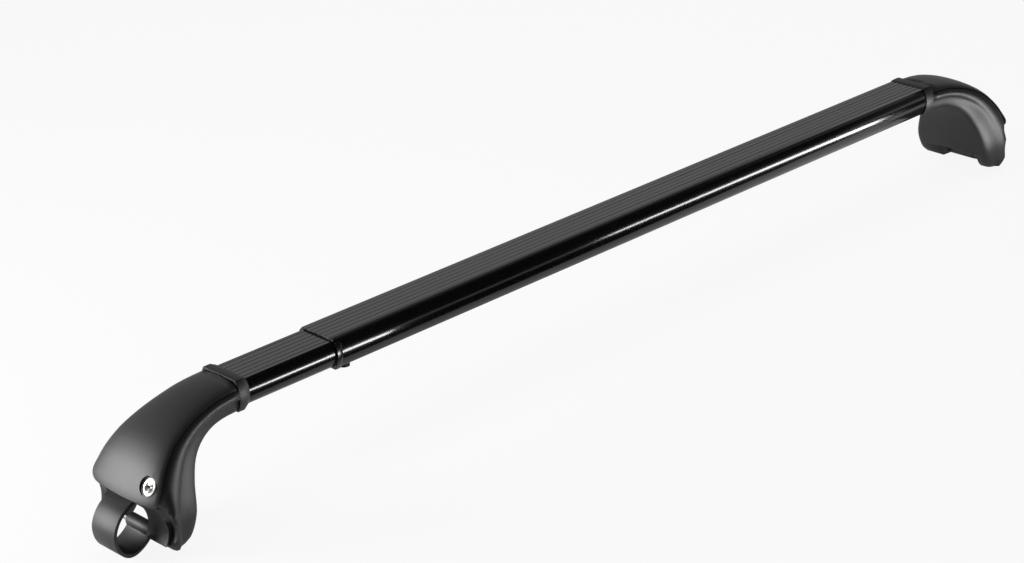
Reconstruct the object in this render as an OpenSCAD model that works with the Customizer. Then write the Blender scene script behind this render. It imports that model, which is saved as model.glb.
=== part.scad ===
// Telescopic roof bar for raised rails: a ribbed steel bar in two lengths,
// with a flared foot at each end that a tensioned strap pulls onto the rail.
// X runs along the bar, Z is up, and the origin lies on the ground at mid bar.

/* [Bar] */
// Distance between the two feet, collar to collar
span = 960; // [900:5:1060]
// Height of the bar's top face above the ground
bar_top = 122; // [122:0.5:126]
// Width of the outer tube over its rounded sides
tube_w = 52; // [50:0.5:53]
// Width of the outer tube's flat top
flat_w = 42; // [39:0.5:43]
// Height of the outer tube
tube_h = 28; // [27:0.5:29]
// Wall of both tubes
tube_wall = 1.5; // [1.2:0.1:2]
// Clearance between the two tubes, all round
tube_gap = 0.3; // [0.25:0.05:0.5]
// Length of inner tube that shows beside the left foot
shown_len = 110; // [90:1:140]
// Length of inner tube held inside the outer tube
held_len = 340; // [280:5:400]

/* [Grip ribs] */
// Number of grooves along the top of each tube
groove_n = 6; // [4:1:7]
// Distance between grooves
groove_pitch = 6; // [4:0.5:6]
// Width of a groove
groove_w = 1.2; // [0.8:0.1:2]
// Depth of a groove
groove_d = 0.4; // [0.3:0.1:0.7]

/* [Tube mouth and length lock] */
// Length of the trim round the outer tube's mouth
trim_len = 6; // [5:0.5:12]
// Thickness of the trim
trim_t = 0.8; // [0.6:0.1:1.4]
// Length of the plastic glide on the inner tube's end
glide_len = 40; // [30:1:60]
// Distance of the lock screw from the outer tube's mouth
lock_x = 28; // [22:1:40]
// Thread radius of the lock screw
lock_r = 3; // [2.5:0.5:4]
// Height of the welded lock nut
lock_nut_h = 6; // [5:0.5:9]

/* [Foot] */
// Length of the collar round the tube's end
collar_len = 13; // [10:0.5:16]
// Collar's stand above the tube
collar_t = 1.1; // [0.9:0.1:1.8]
// Length of the foot's spigot inside the tube
spigot_len = 58; // [50:1:80]
// Clearance of the spigot in its tube
spigot_gap = 0.2; // [0.1:0.05:0.4]
// Radius of the rail seat
seat_r = 24; // [22:0.5:25]
// Thickness of the rubber rail pad
pad_t = 4; // [3:0.5:5]
// Wall of the top cover
cover_t = 2.6; // [2.2:0.1:3]
// Gap between the cover and the foot
cover_gap = 0.5; // [0.4:0.05:0.7]
// Crown of the cover across its width
cover_crown = 3.5; // [2:0.25:4.5]

/* [Strap] */
// Width of the strap
strap_w = 32; // [28:1:33]
// Thickness of the strap
strap_t = 3.2; // [2.6:0.1:3.6]
// Travel of the strap's tensioner
tension_travel = 9; // [6:0.5:9.5]
// Radius of the tension screw
screw_r = 3; // [2.5:0.25:3.5]
// Running clearance of a screw or shaft in its hole
run_gap = 0.06; // [0.04:0.01:0.1]

/* [Key lock] */
// Radius of the lock barrel's face
barrel_r = 7.4; // [6:0.1:8]
// Wall of the lock housing
housing_wall = 1.6; // [1.2:0.1:1.8]
// Depth of the lock housing below the cover's face
housing_len = 15; // [13:0.5:16]
// Place of the lock across the foot
lock_y = 31; // [30:0.5:31.5]

/* [Hidden] */

$fn = 64;
eps = 0.02;
half = span / 2;
mouth_x = -half + shown_len;
inner_end_x = mouth_x + held_len;
inset = tube_wall + tube_gap;

// Tube section: flat top and bottom, sides bulged as arcs.
// c is how far the outline lies inside the outer tube's own.
function side_bulge() = (tube_w - flat_w) / 2;
function side_r(h) = (pow(h / 2, 2) + pow(side_bulge(), 2)) / (2 * side_bulge());
module tube_2d(c) {
    h = tube_h - 2 * c;
    hw = tube_w / 2 - c;
    hf = flat_w / 2 - c;
    r = side_r(h);
    translate([0, -tube_h / 2])
        intersection() {
            square([2 * hw + 2, h], center = true);
            union() {
                square([2 * hf, h], center = true);
                for (s = [-1, 1])
                    intersection() {
                        translate([s * (hw - r), 0]) circle(r);
                        translate([s * hw / 2, 0]) square([hw, h], center = true);
                    }
            }
        }
}
module grooves_2d(c) {
    for (i = [0 : groove_n - 1])
        translate([(i - (groove_n - 1) / 2) * groove_pitch - groove_w / 2, -c - groove_d])
            square([groove_w, groove_d + 1]);
}
// Turns a section in (y, z) to run along +X from x0.
module along_x(x0, len) {
    translate([x0, 0, bar_top]) rotate([90, 0, 90]) linear_extrude(len) children();
}

// Bar
module outer_tube() {
    color("#1b1b1c")
    difference() {
        along_x(mouth_x, half - mouth_x) difference() {
            tube_2d(0);
            tube_2d(tube_wall);
            grooves_2d(0);
        }
        translate([mouth_x + lock_x, 0, bar_top - tube_h - 1])
            cylinder(r = lock_r + run_gap, h = tube_wall + 2);
        foot_at(1) rivet_holes(0);
        end_step(half - collar_len - 0.5, 0);
    }
}
// Under its collar a tube's top lies a little lower.
module end_step(x0, c) {
    along_x(x0, collar_len + 1) translate([-tube_w, -c - groove_d]) square([2 * tube_w, 2]);
}
module inner_tube() {
    color("#1d1d1e")
    difference() {
        along_x(-half, inner_end_x + half - glide_flange) difference() {
            tube_2d(inset);
            tube_2d(inset + tube_wall);
            grooves_2d(inset);
        }
        foot_at(-1) rivet_holes(inset);
        end_step(-half - 0.5, inset);
    }
}
glide_flange = 4;
// Plastic plug in the inner tube's end; its flange slides in the outer tube.
module tube_glide() {
    color("#3a3a3c")
    difference() {
        union() {
            along_x(inner_end_x - glide_flange, glide_flange) tube_2d(inset);
            along_x(inner_end_x - glide_len, glide_len - glide_flange + eps) tube_2d(inset + tube_wall);
        }
        along_x(inner_end_x - glide_len - 1, glide_len + 2) tube_2d(inset + tube_wall + 3);
    }
}
// Trim round the sides and the underside of the outer tube's mouth.
module mouth_trim() {
    color("#141415")
    along_x(mouth_x, trim_len) difference() {
        intersection() {
            tube_2d(-trim_t);
            translate([-tube_w, -tube_h - 2 * trim_t]) square([2 * tube_w, tube_h - 1]);
        }
        tube_2d(0);
    }
}
lock_nut_r = 7;
module lock_nut() {
    color("#2a2a2b")
    translate([mouth_x + lock_x, 0, bar_top - tube_h - lock_nut_h])
        difference() {
            cylinder(r = lock_nut_r, h = lock_nut_h, $fn = 6);
            translate([0, 0, -1]) cylinder(r = lock_r + run_gap, h = lock_nut_h + 2);
        }
}
lock_head_r = 5.2;
lock_head_h = 5;
lock_head_gap = 2;
// Socket screw from below; its tip rests on the inner tube.
module lock_screw() {
    tip = bar_top - tube_h + inset - 0.1;
    under = bar_top - tube_h - lock_nut_h - lock_head_gap;
    color("#8f9194")
    translate([mouth_x + lock_x, 0, 0])
        difference() {
            union() {
                translate([0, 0, under]) cylinder(r = lock_r, h = tip - under);
                translate([0, 0, under - lock_head_h]) cylinder(r = lock_head_r, h = lock_head_h);
            }
            translate([0, 0, under - lock_head_h - 1]) cylinder(r = 2.9, h = 4, $fn = 6);
        }
}

// Foot. It is drawn for the right end, with x outwards from the collar, z down
// from the bar's top face, and y across. Both feet are the same moulding.
module foot_at(side) {
    translate([side * half, 0, bar_top]) rotate([0, 0, side > 0 ? 0 : 180]) children();
}

// Side view of the arm, one row for each station from the collar to the toe:
// outer line x, z, inner line x, z, and half the width at the crease.
arm = [
    [0, -3, 0, -28.6, 26],
    [17, -4, 12, -28.8, 26.6],
    [30, -5.8, 21, -29.8, 27.3],
    [42, -8.8, 29, -31.6, 28.4],
    [55, -13, 37, -35, 30],
    [68, -18.8, 44.5, -39.4, 32.4],
    [80, -26, 51, -45, 35.4],
    [89, -34, 56, -51.6, 38.6],
    [97, -43.5, 59.6, -59, 42],
    [103, -53.5, 62.6, -67, 45],
    [108.5, -64, 64.8, -75, 48],
    [111.6, -74, 66.2, -82.4, 50],
    [112.2, -84, 68, -90, 51.2],
    [110.6, -93.2, 70.4, -97.2, 51],
    [107.2, -101.4, 73, -103.4, 50.2],
    [103, -108, 76, -108.4, 49],
    [99, -113.4, 80, -112.4, 46.5]
];
arm_n = len(arm) - 1;
sub = 2;
// Smooth curve through four rows, u from 0 to 1 between b and c.
function mix4(a, b, c, d, u) =
    0.5 * (2 * b + (c - a) * u + (2 * a - 5 * b + 4 * c - d) * u * u + (3 * b - a - 3 * c + d) * u * u * u);
function row(i) = arm[max(0, min(arm_n, i))];
function arm_at(t) = let (i = min(arm_n - 1, floor(t)))
    mix4(row(i - 1), row(i), row(i + 1), row(i + 2), t - i);
function arm_len(s) = norm([s[0] - s[2], s[1] - s[3]]);
// A point of the arm: u mm in from the outer line, y across.
function arm_pt(s, u, y) = let (k = u / arm_len(s))
    [s[0] + k * (s[2] - s[0]), y, s[1] + k * (s[3] - s[1])];

// Half section of the body, from under the cover round to the inside:
// rebate for the cover, crease, side ridge, flat side and rounded inner corner.
seat_u = 3.4;
function body_half(s) = let (l = arm_len(s), w = s[4]) [
    [seat_u, w - 2.4], [seat_u + 0.4, w - 0.9],
    [0.11 * l + 2.2, w + 1], [0.19 * l + 2, w + 2], [0.30 * l + 1, w + 2.3],
    [0.40 * l, w + 1.9], [0.47 * l, w + 0.9], [0.51 * l, w - 0.4], [0.57 * l, w - 1.1], [0.7 * l, w - 1.7],
    [0.84 * l, w - 2.5], [0.94 * l, w - 3.9], [0.985 * l, w - 6.2], [l, w - 9.6]];
function both(h) = concat(h, [for (i = [len(h) - 1 : -1 : 0]) [h[i][0], -h[i][1]]]);
function ring(s, h) = [for (p = both(h)) arm_pt(s, p[0], p[1])];

// Solid between rings of equal length.
module loft(rings) {
    m = len(rings[0]);
    n = len(rings);
    pts = [for (r = rings) each r];
    sides = [for (i = [0 : n - 2], j = [0 : m - 1], k = [0, 1])
        let (a = i * m + j, b = i * m + (j + 1) % m)
        k == 0 ? [a, b, a + m] : [b, b + m, a + m]];
    polyhedron(points = pts,
        faces = concat([[for (j = [m - 1 : -1 : 0]) j]], sides, [[for (j = [0 : m - 1]) (n - 1) * m + j]]));
}
module arm_loft() {
    loft([for (k = [0 : arm_n * sub]) let (s = arm_at(k / sub)) ring(s, body_half(s))]);
}

// Half section of the cover, outside then inside.
cover_start = 0.11;
cover_end = 10.6;
function cover_half_out(s) = let (w = s[4] - 0.6, c = cover_crown) [
    [-c, 0], [-0.93 * c, 0.3 * w], [-0.72 * c, 0.55 * w], [-0.42 * c, 0.75 * w], [0.02 * c, 0.9 * w],
    [0.45 * c, w - 0.8], [seat_u - cover_gap, w]];
function cover_half_in(s) = let (w = s[4] - 0.6, c = cover_crown, t = cover_t) [
    [seat_u - cover_gap, w - t], [0.25 * c + t * 0.35, w - t - 1.4], [-0.55 * c + t, 0.6 * w],
    [-0.85 * c + t, 0.3 * w], [-c + t, 0]];
// The cover's lower corners are rounded over the last stretch of rows.
lip_rows = 1.1;
lip_steps = 6;
corner_r = 10;
function corner_in(t) = let (v = max(0, (t - cover_end + lip_rows) / (lip_rows * 1.04)))
    corner_r * (1 - sqrt(1 - v * v));
function narrowed(s, d) = [s[0], s[1], s[2], s[3], s[4] - d];
function cover_ring(s) = let (o = cover_half_out(s), i = cover_half_in(s))
    concat(
        [for (p = o) arm_pt(s, p[0], p[1])],
        [for (p = i) arm_pt(s, p[0], p[1])],
        [for (k = [len(i) - 2 : -1 : 0]) arm_pt(s, i[k][0], -i[k][1])],
        [for (k = [len(o) - 1 : -1 : 1]) arm_pt(s, o[k][0], -o[k][1])]);
module cover_loft() {
    steps = 18;
    lip = cover_end - lip_rows;
    ts = concat([for (k = [0 : steps - 1]) cover_start + (lip - cover_start) * k / steps],
        [for (k = [0 : lip_steps]) lip + lip_rows * sin(90 * k / lip_steps)]);
    loft([for (t = ts) cover_ring(narrowed(arm_at(t), corner_in(t)))]);
}

// Rail seat, a groove across the foot below the cover.
seat_x = 124;
seat_z = -92;
over_w = 2.5 * tube_w;
module seat_cut(r) {
    translate([seat_x, 0, seat_z]) rotate([90, 0, 0]) cylinder(r = r, h = over_w, center = true);
}
// Hollow between the two cheeks of the toe, where the strap comes back in.
// The cheek under the lock is the thick one.
cheek_lo = -33;
cheek_hi = strap_w / 2 + 2;
module hollow() {
    translate([0, cheek_hi, 0]) rotate([90, 0, 0]) linear_extrude(cheek_hi - cheek_lo)
        polygon([[60, -bar_top], [60, -98], [84, -98], [97, -84], [104, -73], [110, -66], [over_w, -66],
            [over_w, -bar_top]]);
}

// Frame of the tensioner: z up along the arm, x out through the cover.
tens_x = 92;
tens_z = -59.6;
tens_a = -33.4;
module tens() {
    translate([tens_x, 0, tens_z]) rotate([0, tens_a, 0]) children();
}
screw_off = -1;
rib_lo = tension_travel + 8;
rib_t = 5;
washer_t = 1.5;
head_h = 6;
head_r = 5;
chan_w = strap_w + 2;
chan_floor = -9;
strap_floor = 3.5;
lock_z = -2.8;
pocket_floor = -6;
pocket_r = 9.6;
// Slope of the way that the housing takes as the cover swings up.
swing_a = 29.4;
module channel() {
    tens() {
        translate([chan_floor, -chan_w / 2, -12]) cube([40, chan_w, 12 + rib_lo]);
        translate([strap_floor, -chan_w / 2, -40]) cube([40, chan_w, 41]);
        translate([chan_floor, -8, rib_lo + rib_t]) cube([40, 16, 17]);
        translate([screw_off, 0, -16]) cylinder(r = screw_r + run_gap, h = 50);
        translate([pocket_floor, lock_y, lock_z]) {
            rotate([0, 90, 0]) cylinder(r = pocket_r, h = 40);
            rotate([0, 90 - swing_a, 0]) cylinder(r = pocket_r + 0.7, h = 40);
            translate([0, -cam_len - 0.9, -5]) cube([40, cam_len + 5, 20]);
            translate([0, -cam_len - 0.9, -cam_len - 1.1]) cube([4.4, cam_len + 5, cam_len]);
        }
    }
}

// Spigot that carries the foot in its tube.
spigot_wall = 4;
spigot_root = 0.25;
module spigot(c) {
    translate([-spigot_len, 0, 0]) rotate([90, 0, 90]) linear_extrude(spigot_len + spigot_root)
        difference() {
            tube_2d(c + tube_wall + spigot_gap);
            tube_2d(c + tube_wall + spigot_gap + spigot_wall);
        }
}
// Flush rivets through the tube's underside hold the spigot.
rivet_x = [0.4 * spigot_len, 0.76 * spigot_len];
rivet_r = 2;
rivet_head_r = 3.2;
module rivet_heads(c) {
    for (x = rivet_x) translate([-x, 0, -tube_h + c]) cylinder(r = rivet_head_r, h = tube_wall, $fn = 32);
}
module rivet_shanks(c) {
    for (x = rivet_x) translate([-x, 0, -tube_h + c + tube_wall])
        cylinder(r = rivet_r, h = spigot_gap + spigot_wall, $fn = 32);
}
module rivet_holes(c) {
    rivet_heads(c);
    rivet_shanks(c);
}
toe_x = 93.6;
toe_z = -106.4;
anchor_r = 3;
pin_hold = 4;
anchor_len = cheek_hi - cheek_lo + 2 * pin_hold;
module pin_shape(extra) {
    translate([toe_x, (cheek_lo + cheek_hi) / 2, toe_z]) rotate([90, 0, 0])
        cylinder(r = anchor_r, h = anchor_len + extra, center = true);
}
module foot_body(c) {
    difference() {
        union() {
            arm_loft();
            spigot(c);
            hinge_lug();
        }
        seat_cut(seat_r + pad_t);
        hollow();
        channel();
        rivet_shanks(c);
        pin_shape(0.4);
        hinge_groove();
    }
}

// Cover with its clip bead behind the collar.
bead_x = 2.4;
bead_z = -1.7;
bead_r = 1.1;
bead_w = 16;
lug_top = -3.4;
module hinge_groove() {
    translate([bead_x, 0, bead_z]) rotate([90, 0, 0]) cylinder(r = bead_r + 0.3, h = bead_w + 4, center = true);
}
module hinge_lug() {
    translate([bead_x - 0.6, -bead_w / 2, -9]) cube([3.8, bead_w, 9 + lug_top]);
}
housing_face = 12.9;
module lock_frame() {
    tens() translate([housing_face, lock_y, lock_z]) rotate([0, 90, 0]) children();
}
module foot_cover() {
    difference() {
        union() {
            cover_loft();
            translate([bead_x, 0, bead_z]) rotate([90, 0, 0]) cylinder(r = bead_r, h = bead_w, center = true);
        }
        lock_frame() translate([0, 0, -20]) cylinder(r = barrel_r + housing_wall, h = 40);
    }
}

module foot_collar(c) {
    difference() {
        hull() {
            translate([-0.6 * collar_len, 0, 0]) rotate([90, 0, 90]) linear_extrude(0.6 * collar_len - 0.5)
                scaled_2d(collar_t - 0.2);
            translate([-collar_len, 0, 0]) rotate([90, 0, 90]) linear_extrude(1) scaled_2d(0.6 - c);
        }
        translate([-collar_len - 1, 0, 0]) rotate([90, 0, 90]) linear_extrude(collar_len + 2) tube_2d(c);
    }
}
module scaled_2d(g) {
    $fn = 32;
    tube_2d(-g);
}

// Rubber pad on the rail seat of each cheek.
module rail_pad() {
    difference() {
        intersection() {
            translate([seat_x, 0, seat_z]) rotate([90, 0, 0])
                cylinder(r = seat_r + pad_t - 0.05, h = 2 * pad_half, center = true);
            translate([seat_x - over_w, -pad_half, seat_z - pad_lo])
                cube([over_w - pad_inset, 2 * pad_half, pad_lo + pad_hi]);
        }
        seat_cut(seat_r);
        translate([0, cheek_lo - 0.5, -bar_top]) cube([over_w, cheek_hi - cheek_lo + 1, bar_top]);
    }
}
pad_half = 47;
pad_lo = 14;
pad_hi = 18;
pad_inset = 13;

// Strap: a band along a smooth line, round the rail from the tensioner to the toe.
strap_line = [
    [99.7, -56.9], [103, -62.4], [106.2, -67.9], [110.2, -72.8], [116.2, -76], [122.6, -80], [128.2, -86.8],
    [131.8, -95.4], [131.6, -104.8], [128.2, -113.2], [122.4, -118.8], [115.6, -120.4], [108.6, -118.4],
    [102.4, -114.7], [96.9, -109.7]
];
function line_at(p, t) = let (n = len(p) - 1, i = min(n - 1, floor(t)))
    mix4(p[max(0, i - 1)], p[i], p[i + 1], p[min(n, i + 2)], t - i);
function line_side(p, t) = let (
        a = line_at(p, max(0, t - 0.05)), b = line_at(p, min(len(p) - 1, t + 0.05)), d = (b - a) / norm(b - a))
    [-d[1], d[0]];
module band(p, t0, t1, steps, lo, hi, w) {
    ts = [for (k = [0 : steps]) t0 + (t1 - t0) * k / steps];
    translate([0, w / 2, 0]) rotate([90, 0, 0]) linear_extrude(w)
        polygon(concat(
            [for (t = ts) line_at(p, t) + hi * line_side(p, t)],
            [for (k = [steps : -1 : 0]) line_at(p, ts[k]) + lo * line_side(p, ts[k])]));
}
module strap() {
    n = len(strap_line) - 1;
    band(strap_line, 0, n, 48, -strap_t / 2, strap_t / 2, strap_w);
    difference() {
        translate([toe_x, 0, toe_z]) rotate([90, 0, 0]) cylinder(r = anchor_r + strap_t, h = strap_w, center = true);
        translate([toe_x, 0, toe_z]) rotate([90, 0, 0]) cylinder(r = anchor_r, h = 90, center = true);
    }
}
clip_t = 1.4;
module strap_clip() {
    band(strap_line, 3.15, 4.1, 6, strap_t / 2 + 0.06, strap_t / 2 + clip_t, strap_w + 1);
}
module anchor_pin() {
    pin_shape(0);
}

// Tensioner: a screw turns in a rib and draws the barrel nut and its tongue up.
nut_r = 5;
nut_len = 24;
tongue_t = 2;
tongue_w = 27;
tongue_drop = 8.8;
module barrel_nut() {
    tens() translate([screw_off, 0, 0]) difference() {
        rotate([90, 0, 0]) cylinder(r = nut_r, h = nut_len, center = true);
        translate([0, 0, -10]) cylinder(r = screw_r + run_gap, h = 20);
    }
}
module tongue() {
    tens() translate([screw_off, 0, 0]) difference() {
        translate([0, tongue_w / 2, 0]) rotate([90, 0, 0]) linear_extrude(tongue_w) difference() {
            union() {
                circle(nut_r + tongue_t);
                translate([nut_r, -tongue_drop]) square([tongue_t, tongue_drop + 0.6]);
            }
            circle(nut_r);
        }
        translate([0, 0, -14]) cylinder(r = screw_r + 0.6, h = 28);
    }
}
module tension_screw() {
    tens() translate([screw_off, 0, 0]) difference() {
        union() {
            translate([0, 0, -13]) cylinder(r = screw_r, h = 13 + rib_lo + rib_t + washer_t + eps);
            translate([0, 0, rib_lo + rib_t + washer_t]) cylinder(r = head_r, h = head_h);
        }
        translate([0, 0, rib_lo + rib_t + washer_t + 2]) cylinder(r = 2.9, h = head_h, $fn = 6);
    }
}
module screw_washer() {
    tens() translate([screw_off, 0, rib_lo + rib_t]) difference() {
        cylinder(r = head_r + 1.2, h = washer_t - 0.05);
        translate([0, 0, -1]) cylinder(r = screw_r + run_gap, h = washer_t + 2);
    }
}

// Key lock: a housing in the cover, a barrel that turns, and a cam behind it.
cam_t = 2.5;
cam_len = 11.4;
module lock_housing() {
    lock_frame() difference() {
        translate([0, 0, -housing_len]) cylinder(r = barrel_r + housing_wall, h = housing_len + 0.4);
        translate([0, 0, -housing_len - 1]) cylinder(r = barrel_r + run_gap, h = housing_len + 3);
    }
}
module lock_barrel() {
    lock_frame() difference() {
        translate([0, 0, -housing_len]) cylinder(r = barrel_r, h = housing_len - 0.5);
        translate([-1, -3.6, -3.2]) cube([2, 7.2, 4]);
    }
}
module lock_cam() {
    lock_frame() translate([0, 0, -housing_len - cam_t]) linear_extrude(cam_t) union() {
        circle(4);
        translate([-4, -cam_len]) square([8, cam_len]);
    }
}
module rivets(c) {
    rivet_heads(c);
    rivet_shanks(c);
}

module in_foot(side, shade) {
    color(shade) foot_at(side) children();
}
black = "#232324";
steel = "#9a9c9f";
rubber = "#18181a";
module right_foot_body() { in_foot(1, black) foot_body(0); }
module right_cover() { in_foot(1, "#2c2c2e") foot_cover(); }
module right_collar() { in_foot(1, rubber) foot_collar(0); }
module right_rail_pad() { in_foot(1, rubber) rail_pad(); }
module right_strap() { in_foot(1, "#3a3a3c") strap(); }
module right_strap_clip() { in_foot(1, "#38383a") strap_clip(); }
module right_tongue() { in_foot(1, steel) tongue(); }
module right_barrel_nut() { in_foot(1, steel) barrel_nut(); }
module right_tension_screw() { in_foot(1, steel) tension_screw(); }
module right_screw_washer() { in_foot(1, steel) screw_washer(); }
module right_anchor_pin() { in_foot(1, steel) anchor_pin(); }
module right_lock_housing() { in_foot(1, rubber) lock_housing(); }
module right_lock_barrel() { in_foot(1, "silver") lock_barrel(); }
module right_lock_cam() { in_foot(1, steel) lock_cam(); }
module right_rivets() { in_foot(1, steel) rivets(0); }
module left_foot_body() { in_foot(-1, black) foot_body(inset); }
module left_cover() { in_foot(-1, "#2c2c2e") foot_cover(); }
module left_collar() { in_foot(-1, rubber) foot_collar(inset); }
module left_rail_pad() { in_foot(-1, rubber) rail_pad(); }
module left_strap() { in_foot(-1, "#3a3a3c") strap(); }
module left_strap_clip() { in_foot(-1, "#38383a") strap_clip(); }
module left_tongue() { in_foot(-1, steel) tongue(); }
module left_barrel_nut() { in_foot(-1, steel) barrel_nut(); }
module left_tension_screw() { in_foot(-1, steel) tension_screw(); }
module left_screw_washer() { in_foot(-1, steel) screw_washer(); }
module left_anchor_pin() { in_foot(-1, steel) anchor_pin(); }
module left_lock_housing() { in_foot(-1, rubber) lock_housing(); }
module left_lock_barrel() { in_foot(-1, "silver") lock_barrel(); }
module left_lock_cam() { in_foot(-1, steel) lock_cam(); }
module left_rivets() { in_foot(-1, steel) rivets(inset); }

outer_tube();
inner_tube();
mouth_trim();
tube_glide();
lock_nut();
lock_screw();
right_foot_body();
right_cover();
right_collar();
right_rail_pad();
right_strap();
right_strap_clip();
right_tongue();
right_barrel_nut();
right_tension_screw();
right_screw_washer();
right_anchor_pin();
right_lock_housing();
right_lock_barrel();
right_lock_cam();
right_rivets();
left_foot_body();
left_cover();
left_collar();
left_rail_pad();
left_strap();
left_strap_clip();
left_tongue();
left_barrel_nut();
left_tension_screw();
left_screw_washer();
left_anchor_pin();
left_lock_housing();
left_lock_barrel();
left_lock_cam();
left_rivets();
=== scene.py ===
"""Dresses the telescopic roof bar in its real finishes and sets the studio for its picture."""
import logging
import math
from collections.abc import Callable
from dataclasses import dataclass
from enum import Enum

import bmesh
import bpy
from mathutils import Matrix, Vector


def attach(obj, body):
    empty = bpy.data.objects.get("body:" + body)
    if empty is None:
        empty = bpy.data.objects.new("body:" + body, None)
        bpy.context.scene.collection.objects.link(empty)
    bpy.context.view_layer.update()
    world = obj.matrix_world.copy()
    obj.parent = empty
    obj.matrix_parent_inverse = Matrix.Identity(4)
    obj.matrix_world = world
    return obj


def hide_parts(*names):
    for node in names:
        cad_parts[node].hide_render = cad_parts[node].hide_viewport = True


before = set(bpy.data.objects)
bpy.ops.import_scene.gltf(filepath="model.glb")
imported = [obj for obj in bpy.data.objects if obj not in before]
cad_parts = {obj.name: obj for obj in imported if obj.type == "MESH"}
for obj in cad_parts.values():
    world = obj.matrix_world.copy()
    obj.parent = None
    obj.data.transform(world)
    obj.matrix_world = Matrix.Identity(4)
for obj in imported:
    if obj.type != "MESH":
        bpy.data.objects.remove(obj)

LOG = logging.getLogger("roof_bar")
MM = 0.001


class Side(Enum):
    """An end of the bar: its name in the frame and its direction along X."""

    RIGHT = ("right", 1)
    LEFT = ("left", -1)

    @property
    def word(self) -> str:
        """The side's word in node names."""
        return self.value[0]

    @property
    def sign(self) -> int:
        """Plus or minus one along X."""
        return self.value[1]

    @property
    def body(self) -> str:
        """The body that carries the foot at this end."""
        return "bar" if self is Side.RIGHT else "slider"


def linear(code: str) -> tuple[float, float, float, float]:
    """Turns an sRGB hex colour to linear light.

    Args:
        code: six hex digits after a hash.

    Returns:
        Red, green, blue and an alpha of one.
    """
    def channel(pair: str) -> float:
        value = int(pair, 16) / 255
        return value / 12.92 if value <= 0.04045 else ((value + 0.055) / 1.055) ** 2.4

    return (channel(code[1:3]), channel(code[3:5]), channel(code[5:7]), 1.0)


def ramp(value: float, start: float, full: float) -> float:
    """Rises from nought to one as a value goes from one place to another.

    Args:
        value: the value.
        start: where the rise starts.
        full: where it reaches one; it may lie on either side of the start.

    Returns:
        The share, from nought to one.
    """
    return min(max((value - start) / (full - start), 0), 1)


def add_node(
    tree: bpy.types.NodeTree, kind: str, settings: dict | None = None, links: dict | None = None
) -> bpy.types.Node:
    """Adds a shader node with its settings and incoming links.

    Args:
        tree: the node tree.
        kind: Blender's node type.
        settings: attributes by name, or input values where the name is an input's.
        links: output sockets by the name or number of the input they feed.

    Returns:
        The new node.
    """
    node = tree.nodes.new(kind)
    for name, value in (settings or {}).items():
        if isinstance(name, str) and hasattr(node, name):
            setattr(node, name, value)
        else:
            node.inputs[name].default_value = value
    for name, socket in (links or {}).items():
        tree.links.new(socket, node.inputs[name])
    return node


@dataclass(frozen=True)
class Grain:
    """A fine relief in a surface: the distance between its grains and how far they stand out."""

    pitch_mm: float
    depth_mm: float
    detail: float = 2.0

    def bump(self, tree: bpy.types.NodeTree, place: bpy.types.NodeSocket) -> bpy.types.Node:
        """Adds the relief to a material.

        Args:
            tree: the material's nodes.
            place: the Object coordinates.

        Returns:
            The bump node.
        """
        noise = add_node(
            tree, "ShaderNodeTexNoise",
            {"Scale": 1 / (self.pitch_mm * MM), "Detail": self.detail, "Roughness": 0.55},
            {"Vector": place},
        )
        return add_node(
            tree, "ShaderNodeBump",
            {"Strength": 1.0, "Distance": self.depth_mm * MM},
            {"Height": noise.outputs["Fac"]},
        )


@dataclass(frozen=True)
class Finish:
    """A real surface: what it is made of, and how it takes the light."""

    name: str
    colour: str
    roughness: float
    metallic: float = 0.0
    ior: float = 1.5
    grain: Grain | None = None
    wear: float = 0.0
    wear_pitch_mm: float = 30.0

    def material(self) -> bpy.types.Material:
        """Makes the material, or returns the one made before.

        Returns:
            The material with this finish's name.
        """
        known = bpy.data.materials.get(self.name)
        if known:
            return known
        made = bpy.data.materials.new(self.name)
        made.use_nodes = True
        tree = made.node_tree
        tree.nodes.clear()
        place = add_node(tree, "ShaderNodeTexCoord").outputs["Object"]
        shader = add_node(tree, "ShaderNodeBsdfPrincipled", {
            "Base Color": linear(self.colour), "Roughness": self.roughness, "Metallic": self.metallic,
        })
        if not self.metallic:
            shader.inputs["IOR"].default_value = self.ior
        if self.wear:
            patches = add_node(
                tree, "ShaderNodeTexNoise",
                {"Scale": 1 / (self.wear_pitch_mm * MM), "Detail": 4.0}, {"Vector": place})
            spread = add_node(
                tree, "ShaderNodeMapRange",
                {"To Min": self.roughness - self.wear, "To Max": self.roughness + self.wear},
                {"Value": patches.outputs["Fac"]})
            tree.links.new(spread.outputs["Result"], shader.inputs["Roughness"])
        if self.grain:
            tree.links.new(self.grain.bump(tree, place).outputs["Normal"], shader.inputs["Normal"])
        add_node(tree, "ShaderNodeOutputMaterial", links={"Surface": shader.outputs["BSDF"]})
        return made


# Polyester powder baked on steel: deep black with a wet shine and a faint orange peel.
POWDER_COAT = Finish("powder_coated_steel", "#131314", 0.15, grain=Grain(2.2, 0.002), wear=0.02)
# Glass-filled nylon from a satin mould: black with a soft even sheen.
MOULDED_NYLON = Finish("moulded_glass_filled_nylon", "#1d1d1e", 0.5, grain=Grain(0.9, 0.006))
# The mouth's trim from a polished mould: as glossy as the tube that it ends.
POLISHED_NYLON = Finish("polished_moulded_nylon", "#131314", 0.22, ior=1.53)
# The same nylon from an etched mould: a fine leathery grain that scatters the shine.
GRAINED_NYLON = Finish("etched_mould_nylon", "#262627", 0.48, ior=1.53, grain=Grain(1.3, 0.06, 3.0))
# Moulded rubber: dull black, with hardly any shine.
RUBBER = Finish("moulded_epdm_rubber", "#0d0d0e", 0.5, grain=Grain(0.7, 0.01))
# Rubber-coated band: a little greyer than the mouldings.
STRAP_RUBBER = Finish("rubber_coated_band", "#242425", 0.5, grain=Grain(0.6, 0.015))
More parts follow.
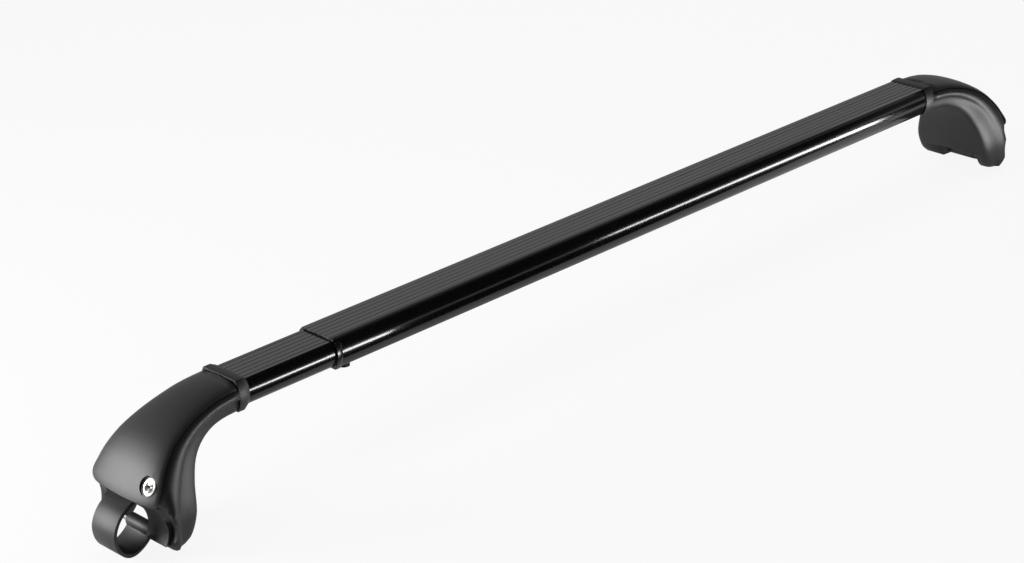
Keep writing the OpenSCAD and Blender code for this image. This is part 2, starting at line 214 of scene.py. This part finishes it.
# Bright zinc plating on turned steel.
ZINC = Finish("bright_zinc_plated_steel", "#b9bbbe", 0.28, metallic=1.0, grain=Grain(0.5, 0.002))
# Black oxide on the length lock's screw: a dark oily steel.
BLACK_OXIDE = Finish("black_oxide_steel", "#26262a", 0.35, metallic=1.0)
# Nickel plating over a die-cast key barrel: clear mirror with soft edges.
NICKEL = Finish("nickel_plated_die_casting", "#c9c8c4", 0.16, metallic=1.0)


# Faces that turn less than this from each other are one flat face.
FLAT_DEG = 0.3
# Edges that stay sharp in shading: of most pieces, and of the lofted mouldings.
SOFT_CREASE_DEG = 35
LOFT_CREASE_DEG = 40


def new_piece(
    name: str, mesh: bmesh.types.BMesh, finish: Finish, crease_deg: float = SOFT_CREASE_DEG
) -> bpy.types.Object:
    """Turns a bmesh into a smooth-shaded object at the origin.

    Args:
        name: the piece's name.
        mesh: the finished bmesh, in metres and in place; it is freed.
        finish: the piece's finish.
        crease_deg: edges sharper than this stay sharp in shading.

    Returns:
        The linked object.
    """
    data = bpy.data.meshes.new(name)
    mesh.to_mesh(data)
    mesh.free()
    data.shade_smooth()
    data.set_sharp_from_angle(angle=math.radians(crease_deg))
    data.materials.append(finish.material())
    piece = bpy.data.objects.new(name, data)
    bpy.context.scene.collection.objects.link(piece)
    return piece


def frame_copy(node: str, weld: float = 0.004 * MM) -> bmesh.types.BMesh:
    """Copies a node's mesh, with its loose triangles joined.

    Args:
        node: the node's name.
        weld: how near two corners lie to be one.

    Returns:
        The copy as a bmesh.
    """
    mesh = bmesh.new()
    mesh.from_mesh(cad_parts[node].data)
    bmesh.ops.remove_doubles(mesh, verts=mesh.verts, dist=weld)
    return mesh


@dataclass(frozen=True)
class EdgeBreak:
    """How far the edges whose faces turn between two angles are rounded."""

    radius_mm: float
    above_deg: float
    below_deg: float = 180
    segments: int = 2

    def round_off(self, mesh: bmesh.types.BMesh) -> None:
        """Rounds those edges of a mesh.

        Args:
            mesh: the bmesh, with its flat faces whole.
        """
        low = math.radians(self.above_deg)
        high = math.radians(self.below_deg)
        edges = [e for e in mesh.edges if len(e.link_faces) == 2 and low < e.calc_face_angle(0) <= high]
        bmesh.ops.bevel(
            mesh, geom=edges, offset=self.radius_mm * MM, segments=self.segments, profile=0.5,
            affect="EDGES", clamp_overlap=True, material=-1)


def skin(
    node: str, body: str, finish: Finish, breaks: tuple[EdgeBreak, ...] = (),
    crease_deg: float = SOFT_CREASE_DEG, rework: Callable[[bmesh.types.BMesh], None] | None = None
) -> bpy.types.Object:
    """Stands a copy with broken edges and smooth shading in for a node.

    Args:
        node: the node that the copy replaces.
        body: the body it rides on.
        finish: its finish.
        breaks: how its edges are rounded.
        crease_deg: edges sharper than this stay sharp in shading.
        rework: a last change of form, made before the edges are broken.

    Returns:
        The piece.
    """
    mesh = frame_copy(node)
    if rework:
        rework(mesh)
    if breaks:
        bmesh.ops.dissolve_limit(
            mesh, angle_limit=math.radians(FLAT_DEG), verts=mesh.verts, edges=mesh.edges)
        for edge_break in breaks:
            edge_break.round_off(mesh)
    piece = new_piece(f"{node}_skin", mesh, finish, crease_deg)
    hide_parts(node)
    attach(piece, body)
    LOG.info("%s: %d faces on %s", piece.name, len(piece.data.polygons), body)
    return piece


FINE_BREAK = EdgeBreak(0.25, 30)
SOFT_BREAK = EdgeBreak(0.6, 30, segments=3)


@dataclass
class Bar:
    """The two ribbed tubes, the trim at the mouth and the length lock.

    The tubes' sides are rounded wide and their ribs hardly at all. A groove is recognised by its depth
    below the top, within the ribbed part of the width.
    """

    tube_breaks: tuple[EdgeBreak, ...] = (EdgeBreak(2.6, 40, 62, 6), EdgeBreak(0.12, 62))
    rib_crease_deg: float = 25
    groove_mm: float = 0.4
    groove_tol_mm: float = 0.05
    coat_fill_mm: float = 0.18
    ribbed_half_mm: float = 16

    def fill_grooves(self, mesh: bmesh.types.BMesh) -> None:
        """Raises the floors of the grooves by the coat that gathers in them.

        Args:
            mesh: a tube's bmesh.
        """
        top = max(vert.co.z for vert in mesh.verts)
        for vert in mesh.verts:
            in_groove = abs(top - vert.co.z - self.groove_mm * MM) < self.groove_tol_mm * MM
            if in_groove and abs(vert.co.y) < self.ribbed_half_mm * MM:
                vert.co.z += self.coat_fill_mm * MM

    def dress(self) -> None:
        """Dresses every piece of the bar."""
        for tube, body in (("outer_tube", "bar"), ("inner_tube", "slider")):
            skin(
                tube, body, POWDER_COAT, self.tube_breaks, self.rib_crease_deg,
                self.fill_grooves)
        skin("mouth_trim", "bar", POLISHED_NYLON, (FINE_BREAK,))
        skin("tube_glide", "slider", MOULDED_NYLON)
        skin("lock_nut", "bar", POWDER_COAT)
        skin("lock_screw", "length_lock", BLACK_OXIDE)


@dataclass(frozen=True)
class Dressing:
    """How one part of a foot is dressed, and the foot's moving body that it rides, if any."""

    part: str
    finish: Finish
    slot: str
    mover: str = ""
    breaks: tuple[EdgeBreak, ...] = ()
    crease_deg: float = SOFT_CREASE_DEG
    tucked: bool = False


FOOT_DRESSINGS = (
    Dressing("foot_body", MOULDED_NYLON, "nylon", crease_deg=LOFT_CREASE_DEG, tucked=True),
    Dressing("cover", GRAINED_NYLON, "cover_nylon", "cover_door", crease_deg=LOFT_CREASE_DEG),
    Dressing("collar", RUBBER, "soft_trim", breaks=(SOFT_BREAK,)),
    Dressing("rail_pad", RUBBER, "soft_trim", tucked=True),
    Dressing("strap", STRAP_RUBBER, "strap", breaks=(SOFT_BREAK,)),
    Dressing("strap_clip", MOULDED_NYLON, "nylon"),
    Dressing("tongue", ZINC, "plated_steel", "tensioner"),
    Dressing("barrel_nut", ZINC, "plated_steel", "tensioner"),
    Dressing("tension_screw", ZINC, "plated_steel", "screw"),
    Dressing("screw_washer", ZINC, "plated_steel"),
    Dressing("anchor_pin", ZINC, "plated_steel"),
    Dressing("lock_housing", MOULDED_NYLON, "nylon", "cover_door"),
    Dressing("lock_barrel", NICKEL, "lock_chrome", "lock"),
    Dressing("lock_cam", ZINC, "plated_steel", "lock"),
    Dressing("rivets", ZINC, "plated_steel"),
)


@dataclass
class Foot:
    """A foot with its cover, collar, rail pad, strap, tensioner and key lock.

    The outer corners are drawn in by tuck_mm across and tip_mm along. Each pair of places says where
    that starts and where it is full: down from the bar's top, back up from the toe, out from the
    collar, and aside from the bar's middle.
    """

    side: Side
    collar_mm: float = 480
    top_mm: float = 122
    tuck_mm: float = 13
    tip_mm: float = 3
    down_mm: tuple[float, float] = (57, 68)
    toe_mm: tuple[float, float] = (90, 82)
    out_mm: tuple[float, float] = (98, 107)
    aside_mm: tuple[float, float] = (42, 45)

    def own(self, part: str) -> str:
        """The frame's name for a part or a moving body of this foot."""
        return f"{self.side.word}_{part}"

    def tuck_corners(self, mesh: bmesh.types.BMesh) -> None:
        """Draws the outer corners of the body or its pads in under the cover's rounded lower corners.

        Args:
            mesh: the bmesh of the body or the pads.
        """
        for vert in mesh.verts:
            out = (self.side.sign * vert.co.x) / MM - self.collar_mm
            down = self.top_mm - vert.co.z / MM
            low = ramp(down, *self.down_mm) * ramp(down, *self.toe_mm)
            tuck = low * ramp(out, *self.out_mm) * ramp(abs(vert.co.y) / MM, *self.aside_mm) * MM
            vert.co.y -= math.copysign(self.tuck_mm * tuck, vert.co.y)
            vert.co.x -= self.side.sign * self.tip_mm * tuck

    def dress(self) -> None:
        """Dresses every piece of the foot."""
        for item in FOOT_DRESSINGS:
            body = self.own(item.mover) if item.mover else self.side.body
            rework = self.tuck_corners if item.tucked else None
            skin(self.own(item.part), body, item.finish, item.breaks, item.crease_deg, rework)


@dataclass(frozen=True)
class Lamp:
    """A soft box: its place, aim, length and width in metres, its power in watts, and who sees it."""

    name: str
    place: tuple[float, float, float]
    aim: tuple[float, float, float]
    size: tuple[float, float]
    power: float
    glossy_only: bool = False
    diffuse_only: bool = False

    def hang(self) -> None:
        """Hangs the lamp, out of the camera's sight."""
        light = bpy.data.lights.new(self.name, "AREA")
        light.shape = "RECTANGLE"
        light.size, light.size_y = self.size
        light.energy = self.power
        lamp = bpy.data.objects.new(self.name, light)
        place = Vector(self.place)
        ahead = (Vector(self.aim) - place).normalized()
        lamp.rotation_euler = ahead.to_track_quat("-Z", "Y").to_euler()
        lamp.location = place
        lamp.visible_camera = False
        lamp.visible_diffuse = not self.glossy_only
        lamp.visible_glossy = not self.diffuse_only
        bpy.context.scene.collection.objects.link(lamp)


LAMPS = (
    Lamp("top_box", (0.1, 0.1, 2.2), (0, 0, 0.1), (2.4, 1.4), 18, diffuse_only=True),
    Lamp("left_box", (-1.4, 0.75, 0.34), (-0.55, 0, 0.08), (0.6, 0.6), 17),
    # The two strips draw the bright streak along the tubes' rounded side.
    Lamp("strip_right", (0.41, -0.235, 0.05), (0.26, 0, 0.11), (0.44, 0.035), 0.95, glossy_only=True),
    Lamp("strip_left", (-0.34, -0.235, 0.05), (-0.45, 0, 0.11), (0.2, 0.03), 0.5, glossy_only=True),
)


@dataclass
class Studio:
    """White sweep, soft boxes and the camera at the photograph's angle.

    The wall's profile pairs a height of the world's direction with its glow. The wall fades over
    fade_y from the dark front to the bright back.
    """

    azimuth: float = -0.75503
    elevation: float = 0.413793
    roll: float = -0.044898
    place: Vector = Vector((-1.66191, -1.62543, 1.07204))
    focal_px: float = 2591.76
    frame_px: float = 1024
    sensor_mm: float = 36
    wall_profile: tuple[tuple[float, float], ...] = ((0.32, 0.47), (0.43, 0.78), (0.5, 0.66), (0.64, 0.2))
    front: float = 0.18
    fade_y: tuple[float, float] = (-0.2, 0.3)
    floor_m: float = 60
    floor_lift: float = 0.9
    floor_shine: float = 0.35

    def camera(self) -> None:
        """Adds the camera and makes it the scene's."""
        back = Vector((
            math.sin(self.azimuth) * math.cos(self.elevation),
            -math.cos(self.azimuth) * math.cos(self.elevation),
            math.sin(self.elevation)))
        right = (-back).cross(Vector((0, 0, 1))).normalized()
        up = right.cross(-back)
        across = math.cos(self.roll) * right + math.sin(self.roll) * up
        over = -math.sin(self.roll) * right + math.cos(self.roll) * up
        lens = bpy.data.cameras.new("picture_camera")
        lens.sensor_width = self.sensor_mm
        lens.lens = self.focal_px * self.sensor_mm / self.frame_px
        lens.clip_start = 0.05
        camera = bpy.data.objects.new("picture_camera", lens)
        turn = Matrix((across, over, back)).transposed().to_4x4()
        camera.matrix_world = Matrix.Translation(self.place) @ turn
        bpy.context.scene.collection.objects.link(camera)
        bpy.context.scene.camera = camera

    def stage_sheet(
        self, name: str, place: Vector, facing: Vector, size: tuple[float, float]
    ) -> bpy.types.Object:
        """Sets up a flat sheet that belongs to the studio.

        Args:
            name: the sheet's name.
            place: its centre in metres.
            facing: the way it faces.
            size: its length and width in metres.

        Returns:
            The sheet.
        """
        mesh = bmesh.new()
        bmesh.ops.create_grid(mesh, x_segments=1, y_segments=1, size=0.5)
        turn = facing.to_track_quat("Z", "Y").to_matrix().to_4x4()
        stretch = Matrix.Diagonal((*size, 1, 1))
        bmesh.ops.transform(mesh, matrix=Matrix.Translation(place) @ turn @ stretch, verts=mesh.verts)
        data = bpy.data.meshes.new(name)
        mesh.to_mesh(data)
        mesh.free()
        sheet = bpy.data.objects.new(name, data)
        bpy.context.scene.collection.objects.link(sheet)
        return sheet

    def sweep(self) -> None:
        """Lays the white floor."""
        size = (self.floor_m, self.floor_m)
        floor = self.stage_sheet("sweep", Vector((0, 0, 0)), Vector((0, 0, 1)), size)
        white = bpy.data.materials.new("white_paper_sweep")
        white.use_nodes = True
        tree = white.node_tree
        tree.nodes.clear()
        paper = add_node(tree, "ShaderNodeBsdfDiffuse", {"Color": linear("#f2f2f2")})
        bright = add_node(tree, "ShaderNodeEmission", {"Color": (1, 1, 1, 1), "Strength": 1.0})
        path = add_node(tree, "ShaderNodeLightPath")
        shiny = add_node(
            tree, "ShaderNodeMath", {"operation": "MULTIPLY", 1: self.floor_shine},
            {0: path.outputs["Is Glossy Ray"]})
        share = add_node(
            tree, "ShaderNodeMath", {"operation": "MULTIPLY_ADD", 1: self.floor_lift},
            {0: path.outputs["Is Camera Ray"], 2: shiny.outputs[0]})
        mix = add_node(tree, "ShaderNodeMixShader", links={
            "Fac": share.outputs[0], 1: paper.outputs[0], 2: bright.outputs[0]})
        add_node(tree, "ShaderNodeOutputMaterial", links={"Surface": mix.outputs[0]})
        floor.data.materials.append(white)

    def flag(self, name: str, place: Vector, facing: Vector, size: tuple[float, float]) -> None:
        """Sets up a black card that only shiny surfaces see.

        Args:
            name: the card's name.
            place: its centre in metres.
            facing: the way it faces.
            size: its length and width in metres.
        """
        card = self.stage_sheet(name, place, facing, size)
        black = bpy.data.materials.get("black_card") or bpy.data.materials.new("black_card")
        black.use_nodes = True
        tree = black.node_tree
        tree.nodes.clear()
        velvet = add_node(tree, "ShaderNodeBsdfDiffuse", {"Color": linear("#181818")})
        add_node(tree, "ShaderNodeOutputMaterial", links={"Surface": velvet.outputs[0]})
        card.data.materials.append(black)
        card.visible_camera = False
        card.visible_diffuse = False
        card.visible_shadow = False

    def room(self) -> None:
        """Sets the world: white to the camera; as light, pale low at the back and dark elsewhere."""
        world = bpy.data.worlds.new("studio_room")
        bpy.context.scene.world = world
        world.use_nodes = True
        tree = world.node_tree
        tree.nodes.clear()
        way = add_node(tree, "ShaderNodeTexCoord")
        part = add_node(tree, "ShaderNodeSeparateXYZ", links={"Vector": way.outputs["Generated"]})
        height = add_node(tree, "ShaderNodeValToRGB", links={"Fac": part.outputs["Z"]})
        for place, glow in self.wall_profile:
            stop = height.color_ramp.elements.new(place)
            stop.color = (glow, glow, glow, 1)
        height.color_ramp.elements.remove(height.color_ramp.elements[-1])
        height.color_ramp.elements[0].color = height.color_ramp.elements[1].color
        behind = add_node(
            tree, "ShaderNodeMapRange",
            {"From Min": self.fade_y[0], "From Max": self.fade_y[1], "To Min": self.front, "To Max": 1.0},
            {"Value": part.outputs["Y"]})
        glow = add_node(
            tree, "ShaderNodeMath", {"operation": "MULTIPLY"},
            {0: height.outputs["Color"], 1: behind.outputs["Result"]})
        seen = add_node(tree, "ShaderNodeBackground", {"Color": (1, 1, 1, 1), "Strength": 1.0})
        light = add_node(
            tree, "ShaderNodeBackground", {"Color": (1, 1, 1, 1)}, {"Strength": glow.outputs[0]})
        path = add_node(tree, "ShaderNodeLightPath")
        mix = add_node(tree, "ShaderNodeMixShader", links={
            "Fac": path.outputs["Is Camera Ray"], 1: light.outputs[0], 2: seen.outputs[0]})
        add_node(tree, "ShaderNodeOutputWorld", links={"Surface": mix.outputs[0]})

    def set_up(self) -> None:
        """Builds the whole studio."""
        bpy.context.scene.view_settings.view_transform = "Standard"
        self.camera()
        self.sweep()
        self.room()
        for lamp in LAMPS:
            lamp.hang()
        self.flag("front_card", Vector((0, -0.9, 0.5)), Vector((0, 1, 0)), (4, 1.0))
        self.flag("floor_card", Vector((0.1, -0.26, 0.004)), Vector((0, 0, 1)), (2.4, 0.3))


def main() -> None:
    """Builds and dresses the roof bar and sets the studio."""
    logging.basicConfig(level=logging.INFO, format="%(name)s %(message)s")
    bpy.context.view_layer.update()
    Bar().dress()
    for side in Side:
        Foot(side).dress()
    Studio().set_up()


if __name__ == "__main__":
    main()
